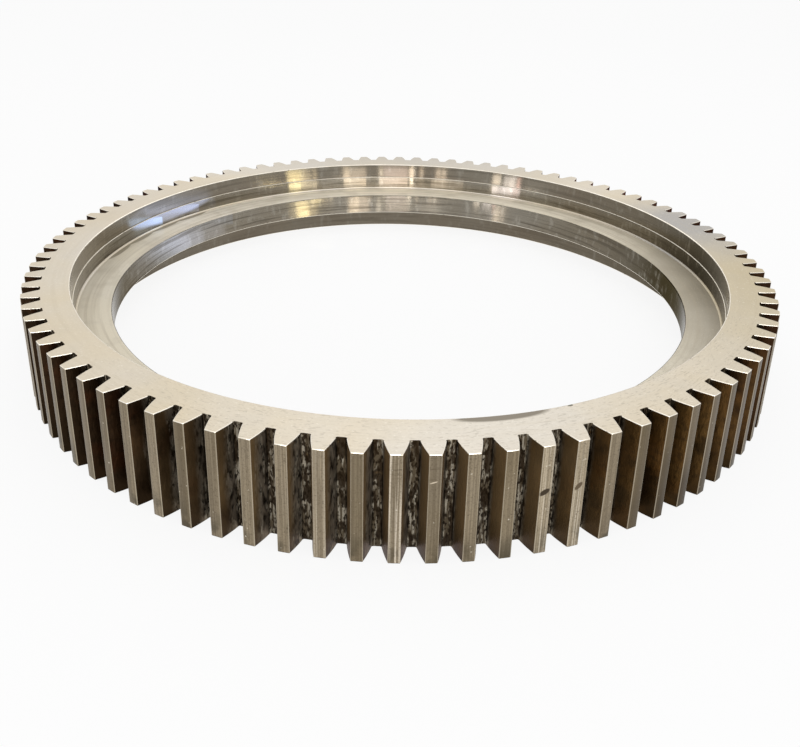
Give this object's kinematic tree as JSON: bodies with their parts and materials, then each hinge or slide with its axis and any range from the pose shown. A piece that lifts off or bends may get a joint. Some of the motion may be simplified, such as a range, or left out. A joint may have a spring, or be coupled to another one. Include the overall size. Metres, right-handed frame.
{
  "type": "ring gear",
  "caption": "External spur ring gear with an inner flange between two turned recesses, for clamping to a hub or drum.",
  "frame": {"origin": "centre of the lower face, on the ring's axis", "axes": "+Z along the axis, out of the face with the stepped recess; +X through the middle of a tooth"},
  "size_m": [1.836, 1.8356, 0.22],
  "materials": {
    "machined_steel": "turned faces, cut teeth, light oil and handling stains"
  },
  "bodies": {
    "root": {"ring_gear": "machined_steel"}
  },
  "joints": []
}
